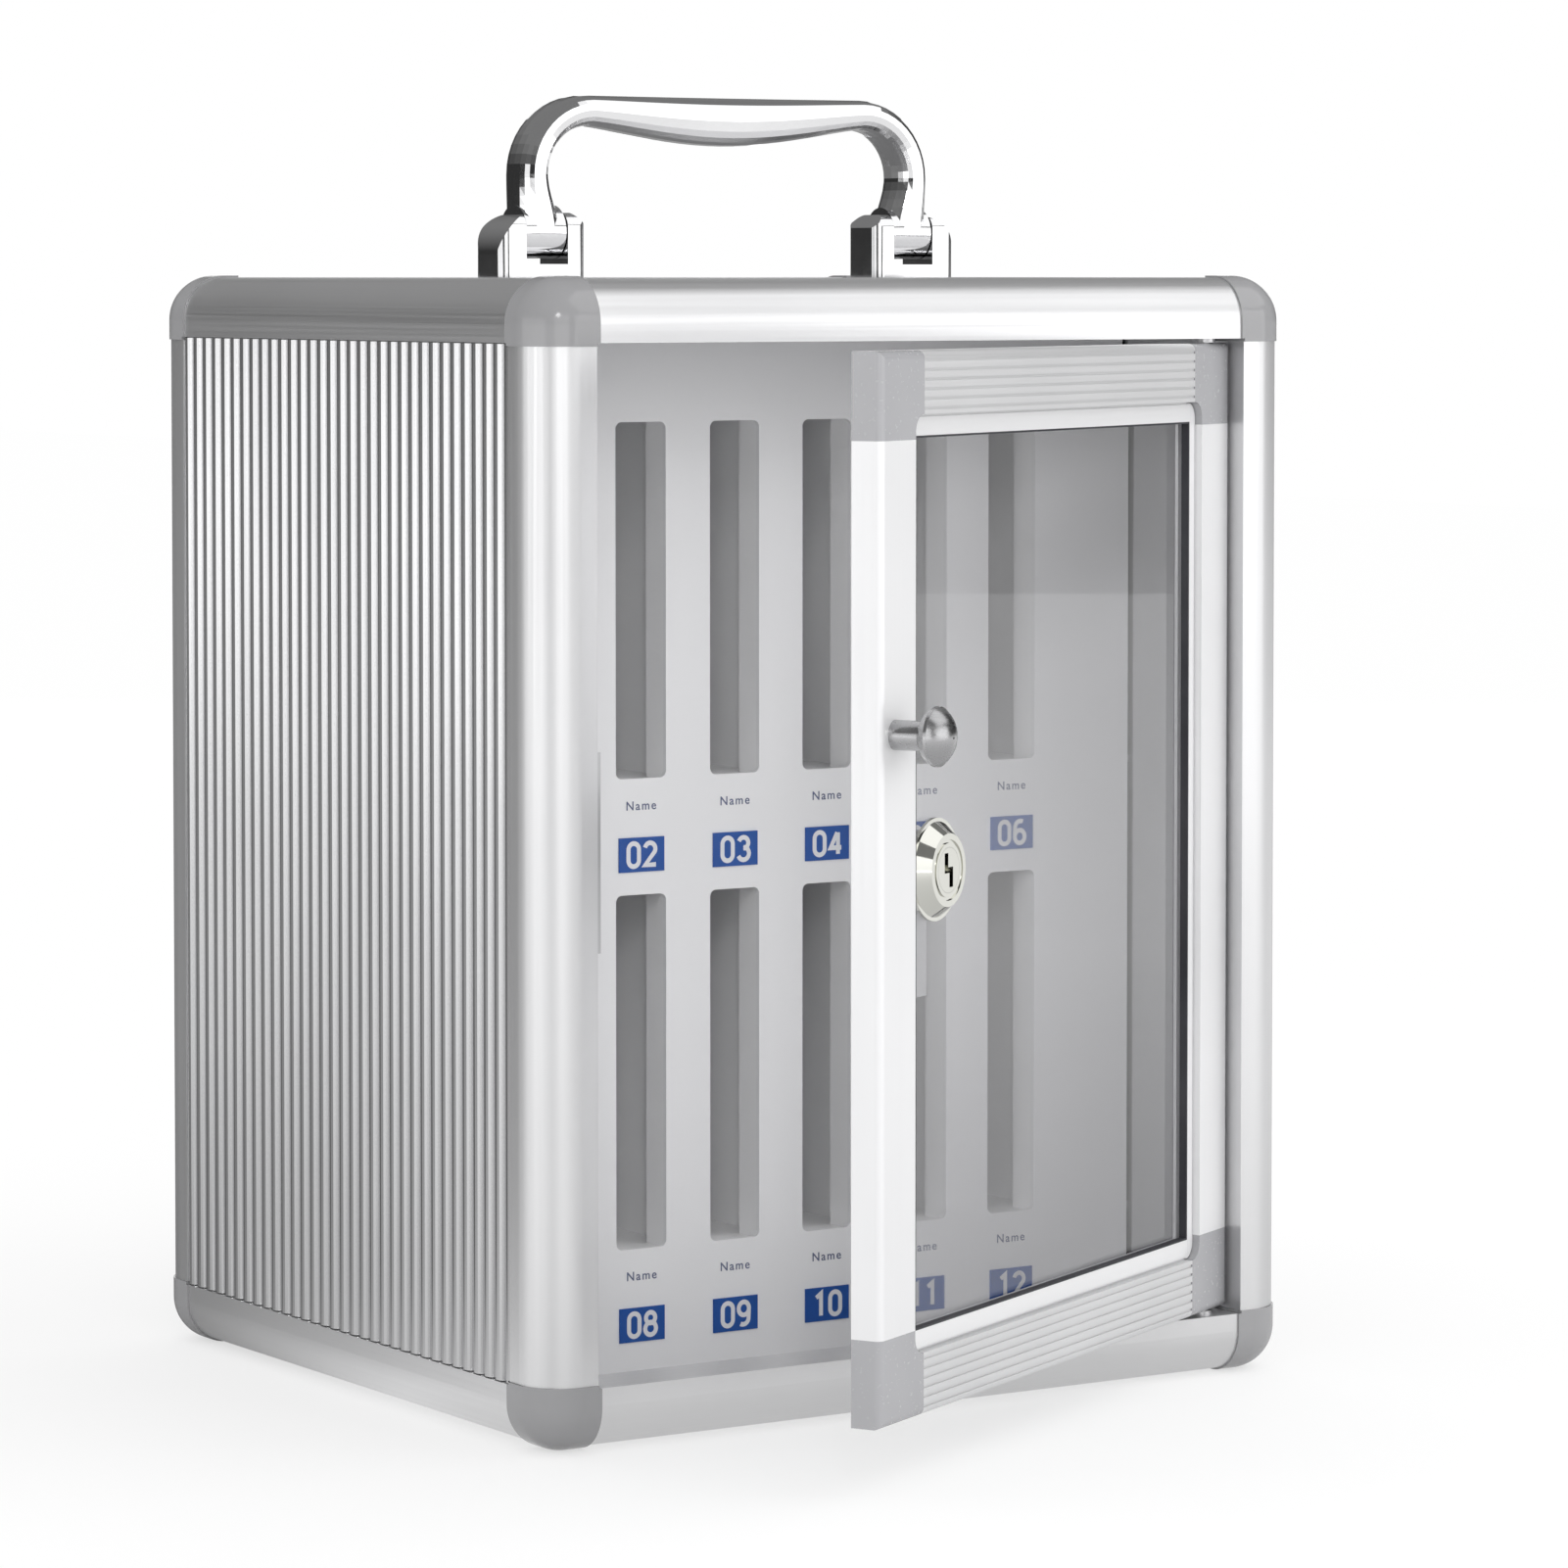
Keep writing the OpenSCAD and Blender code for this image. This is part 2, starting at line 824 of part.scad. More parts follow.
module lock_housing() {
    bezel_h = glass_d - face_d;
    color("gainsboro")
        on_door()
            difference() {
                union() {
                    through_door(lock_x, lock_h, face_d)
                        cylinder(r1 = lock_r - 3.6, r2 = lock_r - 0.9, h = bezel_h - 0.8 + eps);
                    through_door(lock_x, lock_h, glass_d - 0.8)
                        cylinder(r = lock_r, h = 0.8);
                    through_door(lock_x, lock_h, glass_d - eps)
                        cylinder(r = barrel_r, h = barrel_end - glass_d);
                }
                through_door(lock_x, lock_h, face_d - 1)
                    cylinder(r = plug_r + run_gap, h = barrel_end + 3);
                // A shallow ring runs round the plug
                through_door(lock_x, lock_h, face_d - 1)
                    difference() {
                        cylinder(r = plug_r + 1.9, h = 1.4);
                        cylinder(r = plug_r + 1.1, h = 2);
                    }
            }
}

module lock_nut() {
    color("gray")
        on_door()
            difference() {
                through_door(lock_x, lock_h, glass_d + glass_t)
                    cylinder(r = nut_r, h = nut_t, $fn = 6);
                through_door(lock_x, lock_h, glass_d)
                    cylinder(r = barrel_r + run_gap, h = glass_t + nut_t + 2);
            }
}

module lock_plug() {
    tail_end = cam_d + cam_t;
    color("silver")
        on_door()
            difference() {
                union() {
                    through_door(lock_x, lock_h, face_d)
                        cylinder(r = plug_r, h = barrel_end - face_d + 0.4);
                    through_door(lock_x, lock_h, barrel_end)
                        tail(tail_end - barrel_end, 0);
                }
                through_door(lock_x, lock_h, face_d - 1)
                    linear_extrude(5)
                        keyway_outline();
                through_door(lock_x, lock_h, tail_end - 4)
                    cylinder(r = 1.55, h = 5);
            }
}

// The keyway zigzags, as the sides of a key's blade do
module keyway_outline() {
    key_h = 0.76 * plug_r;
    key_w = 0.4 * plug_r;
    translate([-key_w, -key_h])
        square([key_w - 0.3, key_h + 0.7]);
    translate([-key_w, -0.7])
        square([2 * key_w, 1.4]);
    translate([0.3, -0.7])
        square([key_w - 0.3, key_h + 0.7]);
}

// The plug's tail is round with two flats, so that it turns the cam
module tail(h, gap) {
    intersection() {
        cylinder(r = tail_r + gap, h = h);
        translate([-tail_flat - gap, -tail_r - 1, 0])
            cube([2 * (tail_flat + gap), 2 * tail_r + 2, h]);
    }
}

module lock_cam() {
    hub = 6.5;
    color("gainsboro")
        on_door()
            difference() {
                union() {
                    through_door(lock_x, lock_h, cam_d)
                        cylinder(r = hub, h = cam_t);
                    translate([lock_x - cam_w / 2, door_y + cam_d, lock_h - cam_reach])
                        cube([cam_w, cam_t, cam_reach]);
                }
                through_door(lock_x, lock_h, cam_d - 1)
                    tail(cam_t + 2, 0.05);
            }
}

module cam_screw() {
    color("gray")
        on_door()
            through_door(lock_x, lock_h, cam_d + cam_t)
                union() {
                    translate([0, 0, -3.5])
                        cylinder(r = 1.5, h = 3.5 + eps);
                    cylinder(r = 4.2, h = 1.6);
                }
}

// The strike is an angle on the free side's post: the door closes on it and the cam hooks behind it
module lock_strike() {
    strike_y = door_y + door_t + strike_gap;
    wall_x = -inner_w / 2;
    color("silver")
        difference() {
            translate([wall_x, strike_y, lock_h - strike_len / 2])
                union() {
                    cube([strike_reach, strike_t, strike_len]);
                    cube([strike_t, strike_t + strike_leg, strike_len]);
                }
            for (p = strike_spots())
                translate(p)
                    rotate([0, 90, 0])
                        cylinder(r = 1.1, h = 4 * strike_t, center = true);
        }
}

function strike_spots() = [for (s = SIDES)
    [-inner_w / 2, door_y + door_t + strike_gap + strike_t + strike_leg / 2, lock_h + s * (strike_len / 2 - 7)]];

module strike_screws() {
    color("gray")
        for (p = strike_spots())
            translate([p[0] + strike_t, p[1], p[2]])
                rotate([0, 90, 0])
                    union() {
                        cylinder(r = 1.8, h = 1);
                        translate([0, 0, -strike_t])
                            cylinder(r = 1, h = strike_t + eps);
                    }
}

// Where the screws hold the brackets, two to a bracket
function lug_xs() = [(bracket_in + leg_out - eye_w - eye_gap) / 2, leg_out + eye_gap + 3.6];
function screw_spots() = [for (s = SIDES) for (x = lug_xs()) [s * x, -handle_front]];

module bracket_front() {
    // Outline from the front: a shoulder falls away outwards and a bevel inwards
    shoulder = 11;
    high = bracket_h + panel_inset;
    difference() {
        translate([bracket_in, 0])
            square([bracket_len, high]);
        translate([bracket_out - shoulder, high - shoulder])
            difference() {
                square([shoulder + 1, shoulder + 1]);
                circle(shoulder);
            }
        translate([bracket_in, high])
            rotate(45)
                square([5, 5], center = true);
    }
}

module bracket(sx) {
    high = bracket_h + panel_inset;
    color("whitesmoke")
        translate([0, -handle_front, 0])
            mirror([sx < 0 ? 1 : 0, 0, 0])
                difference() {
                    intersection() {
                        translate([0, bracket_d / 2, panel_top])
                            rotate([90, 0, 0])
                                linear_extrude(bracket_d)
                                    bracket_front();
                        // Seen from the side, the top edges are round
                        translate([0, 0, panel_top])
                            rotate([90, 0, 90])
                                linear_extrude(2 * leg_x)
                                    bracket_side(high);
                        translate([0, 0, panel_top - 1])
                            linear_extrude(high + 2)
                                bracket_plan();
                    }
                    translate([eye_x - eye_w / 2 - eye_gap, -bracket_d, top + slot_floor])
                        cube([eye_w + 2 * eye_gap, 2 * bracket_d, bracket_h]);
                    translate([eye_x, 0, handle_z])
                        rotate([0, 90, 0])
                            cylinder(r = handle_pin_r + run_gap, h = handle_pin_len + 1, center = true);
                    for (x = lug_xs())
                        translate([x, 0, panel_top - 1])
                            cylinder(r = screw_r + run_gap, h = 8);
                }
}

module bracket_plan() {
    // Outline from above, with round corners
    r = bracket_r;
    translate([(bracket_in + bracket_out) / 2, 0])
        difference() {
            square([bracket_len, bracket_d], center = true);
            for (s = SIDES, t = SIDES)
                translate([s * (bracket_len / 2 - r), t * (bracket_d / 2 - r)])
                    difference() {
                        translate([s * (r + 1) / 2, t * (r + 1) / 2])
                            square(r + 1, center = true);
                        circle(r);
                    }
        }
}

module bracket_side(high) {
    r = 4;
    difference() {
        translate([-bracket_d / 2, 0])
            square([bracket_d, high]);
        for (s = SIDES)
            mirror([s < 0 ? 1 : 0, 0])
                translate([bracket_d / 2 - r, high - r])
                    difference() {
                        square([r + 1, r + 1]);
                        circle(r);
                    }
    }
}

module handle_pin(sx) {
    color("silver")
        translate([sx * eye_x, -handle_front, handle_z])
            rotate([0, 90, 0])
                cylinder(r = handle_pin_r, h = handle_pin_len, center = true);
}

module handle_screws() {
    color("gray")
        for (p = screw_spots())
            translate([p[0], p[1], panel_top - panel_t])
                union() {
                    translate([0, 0, -2])
                        cylinder(r = screw_head_r, h = 2);
                    cylinder(r = screw_r, h = panel_t + 6);
                }
}

// The bail's outer line, from the left eye over the grip, as [point, direction of its inner side]
function bail_line() = concat(
    [for (i = [0:6]) [[-leg_out, handle_z + i * (handle_top - bend_r - handle_z - 1) / 6], [1, 0]]],
    [for (a = [0:7.5:90]) [[-grip_half - bend_r * cos(a), handle_top - bend_r + bend_r * sin(a)],
        [cos(a), -sin(a)]]],
    [for (i = [1:9]) [[-grip_half + i * grip_half / 10, handle_top], [0, -1]]]
);

// Thickness of the bail along that line: it swells under the grip, and inwards above the eye
function bail_t(p) = let (x = abs(p[0]), low = max(0, 1 - (p[1] - handle_z) / flare_h))
    x < grip_half ? leg_t + (grip_t - leg_t) * pow(cos(90 * x / grip_half), 1.2)
        : leg_t + (eye_w - leg_t) * low * low * (3 - 2 * low);

// One ring of the bail's section, a rounded oblong across the outer line
function bail_ring(point, inward, t, sides) = [
    for (k = [0:sides - 1])
        let (a = 360 * k / sides,
            across = t / 2 * (1 - sign(cos(a)) * pow(abs(cos(a)), 0.75)),
            deep = leg_depth / 2 * sign(sin(a)) * pow(abs(sin(a)), 0.75))
            [point[0] + inward[0] * across, deep, point[1] + inward[1] * across]
];

module bail_bar() {
    sides = 20;
    half = bail_line();
    n = len(half);
    line = concat(half, [[[0, handle_top], [0, -1]]],
        [for (i = [n - 1:-1:0]) [[-half[i][0][0], half[i][0][1]], [-half[i][1][0], half[i][1][1]]]]);
    rings = [for (p = line) bail_ring(p[0], p[1], bail_t(p[0]), sides)];
    count = len(rings);
    points = [for (r = rings) for (p = r) p];
    walls = [for (i = [0:count - 2]) for (k = [0:sides - 1])
        let (a = i * sides + k, b = i * sides + (k + 1) % sides)
            each [[a, b, b + sides], [a, b + sides, a + sides]]];
    ends = [[for (k = [sides - 1:-1:0]) k], [for (k = [0:sides - 1]) (count - 1) * sides + k]];
    polyhedron(points, concat(walls, ends), convexity = 6);
}

module handle_bail() {
    color("whitesmoke")
        translate([0, -handle_front, 0])
            difference() {
                union() {
                    bail_bar();
                    for (s = SIDES)
                        translate([s * eye_x, 0, handle_z])
                            rotate([0, 90, 0])
                                cylinder(r = eye_r, h = eye_w, center = true);
                }
                for (s = SIDES)
                    translate([s * eye_x, 0, handle_z])
                        rotate([0, 90, 0])
                            cylinder(r = handle_pin_r + run_gap, h = eye_w + 4, center = true);
            }
}

post(-1, -1);  // post_front_left
post(1, -1);  // post_front_right
post(-1, 1);  // post_rear_left
post(1, 1);  // post_rear_right
rail_x(-1, -1);  // rail_front_bottom
rail_x(-1, 1);  // rail_front_top
rail_x(1, -1);  // rail_rear_bottom
rail_x(1, 1);  // rail_rear_top
rail_y(-1, -1);  // rail_left_bottom
rail_y(-1, 1);  // rail_left_top
rail_y(1, -1);  // rail_right_bottom
rail_y(1, 1);  // rail_right_top
for (i = [0:7])
    cap(CAPS[i]);
panel_side(-1);  // panel_left
panel_side(1);  // panel_right
panel_back();
panel_top();
panel_bottom();
slot_panel();
dividers();
low_shelf();
mid_shelf();
roof_shelf();
number_plates();
door_pin(-1);  // door_pin_bottom
door_pin(1);  // door_pin_top
lock_strike();
strike_screws();
color("white") stile(-1);  // door_stile_free
color("white") stile(1);  // door_stile_hinge
color("white") rail(-1);  // door_rail_bottom
color("white") rail(1);  // door_rail_top
color("gray") door_corner(-1, -1);  // door_corner_bottom_free
color("gray") door_corner(1, -1);  // door_corner_bottom_hinge
color("gray") door_corner(-1, 1);  // door_corner_top_free
color("gray") door_corner(1, 1);  // door_corner_top_hinge
door_glass();
glass_gasket();
door_knob();
knob_screw();
lock_housing();
lock_nut();
lock_plug();
lock_cam();
cam_screw();
bracket(-1);  // handle_bracket_left
bracket(1);  // handle_bracket_right
handle_pin(-1);  // handle_pin_left
handle_pin(1);  // handle_pin_right
handle_screws();
handle_bail();
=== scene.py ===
"""Looks for the cell phone locker box: materials, printed numbers, studio and camera."""
import math

import bpy
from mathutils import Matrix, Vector


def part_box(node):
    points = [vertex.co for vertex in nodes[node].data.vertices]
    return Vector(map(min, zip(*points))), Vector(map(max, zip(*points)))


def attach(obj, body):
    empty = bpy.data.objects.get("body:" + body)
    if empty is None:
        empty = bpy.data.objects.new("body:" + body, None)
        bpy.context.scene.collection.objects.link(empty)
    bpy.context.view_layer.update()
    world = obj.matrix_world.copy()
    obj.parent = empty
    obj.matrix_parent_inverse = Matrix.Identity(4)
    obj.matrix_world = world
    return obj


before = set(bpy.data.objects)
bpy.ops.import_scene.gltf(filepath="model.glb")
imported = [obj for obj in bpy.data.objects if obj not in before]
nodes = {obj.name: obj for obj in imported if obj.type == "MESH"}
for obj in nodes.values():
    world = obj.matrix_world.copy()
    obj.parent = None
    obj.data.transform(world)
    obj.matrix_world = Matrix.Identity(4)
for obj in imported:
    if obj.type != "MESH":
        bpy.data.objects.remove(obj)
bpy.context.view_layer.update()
MM = 0.001
WHITE = (1, 1, 1, 1)


# Node helpers

def new_mat(name):
    mat = bpy.data.materials.new(name)
    mat.use_nodes = True
    return mat, mat.node_tree, mat.node_tree.nodes["Principled BSDF"]


def add(nt, kind, **settings):
    node = nt.nodes.new(kind)
    for key, value in settings.items():
        setattr(node, key, value)
    return node


def put(nt, value, socket):
    """Link the value to the socket if it comes from a node, or set it there as a constant."""
    if isinstance(value, bpy.types.NodeSocket):
        nt.links.new(value, socket)
    else:
        socket.default_value = value


def calc(nt, operation, *values):
    node = add(nt, "ShaderNodeMath", operation=operation)
    for value, socket in zip(values, node.inputs):
        put(nt, value, socket)
    return node.outputs[0]


def blend(nt, factor, first, second):
    """A number that goes from the first to the second as the factor goes from 0 to 1."""
    node = add(nt, "ShaderNodeMix", data_type="FLOAT")
    for value, index in ((factor, 0), (first, 2), (second, 3)):
        put(nt, value, node.inputs[index])
    return node.outputs[0]


def split(nt, vector):
    """The x, y and z outputs of a vector."""
    node = add(nt, "ShaderNodeSeparateXYZ")
    nt.links.new(vector, node.inputs[0])
    return node.outputs


def remap(nt, value, low, high, from_low, from_high):
    """The value's range from_low to from_high, stretched to low to high."""
    node = add(nt, "ShaderNodeMapRange")
    nt.links.new(value, node.inputs["Value"])
    node.inputs["From Min"].default_value = from_low
    node.inputs["From Max"].default_value = from_high
    node.inputs["To Min"].default_value = low
    node.inputs["To Max"].default_value = high
    return node.outputs["Result"]


def noise(nt, scale, detail):
    """Noise whose scale per metre is one number, or one for each of x, y and z."""
    stretch = scale if isinstance(scale, tuple) else (scale, scale, scale)
    place = add(nt, "ShaderNodeTexCoord")
    mapping = add(nt, "ShaderNodeMapping")
    mapping.inputs["Scale"].default_value = stretch
    nt.links.new(place.outputs["Object"], mapping.inputs["Vector"])
    node = add(nt, "ShaderNodeTexNoise")
    node.inputs["Scale"].default_value = 1.0
    node.inputs["Detail"].default_value = detail
    nt.links.new(mapping.outputs["Vector"], node.inputs["Vector"])
    return node.outputs["Fac"]


# Most of a noise lies between these values
NOISE_LOW = 0.3
NOISE_HIGH = 0.7


def vary(nt, fac, middle, spread):
    """A number that a noise moves by the spread to both sides of its middle."""
    return remap(nt, fac, middle - spread, middle + spread, NOISE_LOW, NOISE_HIGH)


def tint(nt, fac, dark, light):
    ramp = add(nt, "ShaderNodeValToRGB")
    first, last = ramp.color_ramp.elements
    first.position, last.position = NOISE_LOW, NOISE_HIGH
    first.color, last.color = (*dark, 1), (*light, 1)
    nt.links.new(fac, ramp.inputs["Fac"])
    return ramp.outputs["Color"]


def bump(nt, bsdf, height, distance, strength):
    node = add(nt, "ShaderNodeBump")
    node.inputs["Strength"].default_value = strength
    node.inputs["Distance"].default_value = distance
    nt.links.new(height, node.inputs["Height"])
    nt.links.new(node.outputs["Normal"], bsdf.inputs["Normal"])


def grey(level, blue=0.0):
    """A grey of the given level, with a little more or less blue."""
    return (level, level, level + blue)


# Materials

def metal(name, level, rough, grain, blue=0.008, grain_bump=0.15, metallic=1.0,
          spread=0.06, bead_highlight=None):
    """Satin metal; grain is the scale of its fine noise along x, y and z.

    bead gives a painted highlight on the rail: the height where it begins, the height where it is
    whole, and its level.
    """
    mat, nt, bsdf = new_mat(name)
    fine = noise(nt, grain, 2)
    cloud = noise(nt, 14, 2)
    cloud_spread = 0.02
    bsdf.inputs["Metallic"].default_value = metallic
    colour = tint(nt, cloud, grey(level - cloud_spread, blue), grey(level + cloud_spread, blue))
    # A paler band from a given height on is a painted highlight
    if bead_highlight:
        start, whole, highlight_level = bead_highlight
        place = add(nt, "ShaderNodeTexCoord")
        height = split(nt, place.outputs["Object"])["Z"]
        both = add(nt, "ShaderNodeMix", data_type="RGBA")
        nt.links.new(remap(nt, height, 0.0, 1.0, start, whole), both.inputs[0])
        nt.links.new(colour, both.inputs[6])
        both.inputs[7].default_value = (*grey(highlight_level, blue), 1)
        colour = both.outputs[2]
    nt.links.new(colour, bsdf.inputs["Base Color"])
    nt.links.new(vary(nt, fine, rough, spread), bsdf.inputs["Roughness"])
    bump(nt, bsdf, fine, 0.02 * MM, grain_bump)
    return mat


def plastic(name, level, rough, blue=0.006):
    """Moulded plastic with a faint, even orange-peel."""
    mat, nt, bsdf = new_mat(name)
    peel = noise(nt, 900, 2)
    cloud = noise(nt, 30, 2)
    cloud_spread = 0.012
    colour = tint(nt, cloud, grey(level - cloud_spread, blue), grey(level + cloud_spread, blue))
    nt.links.new(colour, bsdf.inputs["Base Color"])
    nt.links.new(vary(nt, peel, rough, 0.04), bsdf.inputs["Roughness"])
    bump(nt, bsdf, peel, 0.01 * MM, 0.06)
    return mat


def paint(name, dark, light, rough):
    """Smooth painted sheet."""
    mat, nt, bsdf = new_mat(name)
    cloud = noise(nt, 9, 3)
    peel = noise(nt, 700, 2)
    blue = 0.012
    nt.links.new(tint(nt, cloud, grey(dark, blue), grey(light, blue)), bsdf.inputs["Base Color"])
    nt.links.new(vary(nt, peel, rough, 0.04), bsdf.inputs["Roughness"])
    bump(nt, bsdf, peel, 0.02 * MM, 0.1)
    return mat


def ink(name, colour, rough):
    """Printed colour with a slight unevenness."""
    mat, nt, bsdf = new_mat(name)
    cloud = noise(nt, 120, 3)
    thin = tuple(0.92 * c for c in colour)
    nt.links.new(tint(nt, cloud, thin, colour), bsdf.inputs["Base Color"])
    nt.links.new(vary(nt, cloud, rough, 0.05), bsdf.inputs["Roughness"])
    return mat


def glass(name):
    """Clear glass with a faint grey body, which lets lamps through."""
    mat, nt, bsdf = new_mat(name)
    smear = noise(nt, (60, 60, 25), 3)
    bsdf.inputs["Base Color"].default_value = (0.92, 0.92, 0.93, 1)
    nt.links.new(vary(nt, smear, 0.01, 0.01), bsdf.inputs["Roughness"])
    bsdf.inputs["Transmission Weight"].default_value = 1.0
    bsdf.inputs["IOR"].default_value = 1.5
    path = add(nt, "ShaderNodeLightPath")
    clear = add(nt, "ShaderNodeBsdfTransparent")
    clear.inputs["Color"].default_value = (0.90, 0.90, 0.91, 1)
    mix = add(nt, "ShaderNodeMixShader")
    nt.links.new(path.outputs["Is Shadow Ray"], mix.inputs["Fac"])
    nt.links.new(bsdf.outputs["BSDF"], mix.inputs[1])
    nt.links.new(clear.outputs["BSDF"], mix.inputs[2])
    nt.links.new(mix.outputs["Shader"], nt.nodes["Material Output"].inputs["Surface"])
    return mat


# The scale of a brushed grain is low along one axis and high across it
LONG = 6
FINE = 1400
ALONG_X = (LONG, FINE, FINE)
ALONG_Y = (FINE, LONG, FINE)
ALONG_Z = (FINE, FINE, LONG)

# Level and roughness follow the name, then the grain
BAR = {"level": 0.77, "rough": 0.36, "metallic": 0.9}
bar_x = metal("bar_x", grain=ALONG_X, **BAR)
bar_y = metal("bar_y", grain=ALONG_Y, **BAR)
bar_z = metal("bar_z", grain=ALONG_Z, **BAR)
ribbed = metal("ribbed_sheet", 0.60, 0.21, ALONG_Z, grain_bump=0.08, spread=0.03)
sheet = metal("plain_sheet", 0.76, 0.42, ALONG_X)
inside = metal("partition_sheet", 0.96, 0.5, ALONG_Y, metallic=0.0)
cap_grey = plastic("cap_grey", 0.26, 0.14)
corner_grey = plastic("corner_grey", 0.31, 0.24, blue=0.012)
panel_paint = paint("slot_panel_paint", 0.91, 0.94, 0.45)

# Each door rail is grooved; on the glass side, where the rail has its bead, a paler band is a
# painted highlight
BEAD = 5.2 * MM
BEAD_HIGHLIGHT_BLEND = 0.4 * MM
# The rails get a darker level than the stiles, which are the same metal: painted shade
RAIL = {"level": 0.66, "rough": 0.36, "grain": (LONG, LONG, FINE), "metallic": 0.5}
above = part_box("door_rail_top")[0][2] + BEAD
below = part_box("door_rail_bottom")[1][2] - BEAD
door_top = metal("door_top_rail", bead_highlight=(above, above - BEAD_HIGHLIGHT_BLEND, 0.80), **RAIL)
door_foot = metal("door_foot_rail", bead_highlight=(below, below + BEAD_HIGHLIGHT_BLEND, 0.84), **RAIL)
door_z = metal("door_stile_metal", 0.74, 0.40, ALONG_Z, metallic=0.35)
pane = glass("door_pane")
rubber = plastic("gasket_rubber", 0.03, 0.55)
chrome = metal("bright_chrome", 0.80, 0.07, (200, 200, 200), grain_bump=0.02, spread=0.01)
nickel = metal("lock_nickel", 0.76, 0.08, (300, 300, 300), blue=-0.05, grain_bump=0.02,
               spread=0.02)
knob_metal = metal("knob_metal", 0.45, 0.26, (300, 300, 900))
zinc = metal("zinc_steel", 0.62, 0.34, (600, 600, 600))
blue_plate = ink("blue_plate", (0.010, 0.085, 0.38), 0.4)
white_ink = ink("white_ink", (0.86, 0.87, 0.9), 0.5)
label_ink = ink("label_ink", (0.13, 0.15, 0.26), 0.6)


def dress(mat, *names):
    """Give nodes one material all over."""
    for name in names:
        mesh = nodes[name].data
        mesh.materials.clear()
        mesh.materials.append(mat)
        for poly in mesh.polygons:
            poly.material_index = 0


BY_PREFIX = (
    (bar_z, "post_"), (bar_x, "rail_front", "rail_rear"), (bar_y, "rail_left", "rail_right"),
    (cap_grey, "cap_"), (corner_grey, "door_corner"), (door_z, "door_stile"),
)
for mat, *prefixes in BY_PREFIX:
    dress(mat, *(name for name in nodes if name.startswith(tuple(prefixes))))
dress(door_top, "door_rail_top")
dress(door_foot, "door_rail_bottom")
dress(ribbed, "panel_left", "panel_right", "panel_back")
dress(sheet, "panel_top", "panel_bottom")
dress(inside, "dividers", "low_shelf", "mid_shelf", "roof_shelf")
dress(panel_paint, "slot_panel")
dress(blue_plate, "number_plates")
dress(pane, "door_glass")
dress(rubber, "glass_gasket")
dress(nickel, "lock_housing", "lock_plug")
dress(chrome, "handle_bracket_left", "handle_bracket_right", "handle_bail")
dress(knob_metal, "door_knob")
dress(zinc, "knob_screw", "lock_nut", "lock_cam", "cam_screw", "door_pin_bottom", "door_pin_top",
      "lock_strike", "strike_screws", "handle_pin_left", "handle_pin_right", "handle_screws")

# Lofted and turned pieces shade smoothly up to edges sharper than these angles in degrees
CREASES = {"handle_bail": 62, "door_knob": 38, "lock_housing": 38}
for name, angle in CREASES.items():
    nodes[name].data.shade_smooth()
    nodes[name].data.set_sharp_from_angle(angle=math.radians(angle))

# Cast and moulded pieces have slightly round edges, with these widths in millimetres
ROUND_EDGES = {
    "handle_bracket_left": 0.5, "handle_bracket_right": 0.5, "lock_housing": 0.25,
    "door_corner_bottom_free": 0.3, "door_corner_top_free": 0.3,
    "door_corner_bottom_hinge": 0.3, "door_corner_top_hinge": 0.3,
}
for name, width in ROUND_EDGES.items():
    soft = nodes[name].modifiers.new("soft_edges", "BEVEL")
    soft.width = width * MM
    soft.segments = 3
    soft.limit_method = "ANGLE"
    soft.angle_limit = math.radians(30)
    soft.harden_normals = False
    for poly in nodes[name].data.polygons:
        poly.use_smooth = True

# Printed numbers and labels, in millimetres: the case's slots and plates, then the print
CASE_FOOT = 0.5
CASE_FRONT = -103.5
SLOT_SETBACK = 71
SLOT_Y = CASE_FRONT + SLOT_SETBACK
PLATE_T = 0.4
COLUMNS = 6
COLUMN = 28.9
SLOT_LOW = 36.1
ROW = 123.4
PLATE_DROP = 15.4
PLATE_H = 9.0
LABEL_DROP = 7.2
LABEL_SIZE = 3.3
LABEL_SPACING = 1.25
LABEL_BOLD = 0.03
DIGIT_H = 6.6
STROKE = 1.25
PRINT_GAP = 0.04
INK_T = 0.03
LAYER_STEP = 0.02


def print_piece(name, data, mat, turn=(0, 0, 0), place=(0, 0, 0)):
    """Printed words or digits, which ride on the case."""
    data.materials.append(mat)
    obj = bpy.data.objects.new(name, data)
    bpy.context.scene.collection.objects.link(obj)
    obj.rotation_euler = turn
    obj.location = place
    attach(obj, "case")


def print_label(name, words, x, y, z):
    """Flat printed words on a face that looks along -Y, centred on x and z."""
    curve = bpy.data.curves.new(name, "FONT")
    curve.body = words
    curve.size = LABEL_SIZE * MM
    curve.align_x = "CENTER"
    curve.align_y = "CENTER"
    curve.extrude = INK_T * MM
    curve.offset = LABEL_BOLD * MM
    curve.space_character = LABEL_SPACING
    print_piece(name, curve, label_ink, (math.pi / 2, 0, 0), (x * MM, y * MM, z * MM))


def arc(cx, cy, rx, ry, start, end, steps=14):
    """Points on an ellipse between two angles in degrees."""
    turns = (math.radians(start + (end - start) * i / steps) for i in range(steps + 1))
    return [(cx + rx * math.cos(turn), cy + ry * math.sin(turn)) for turn in turns]


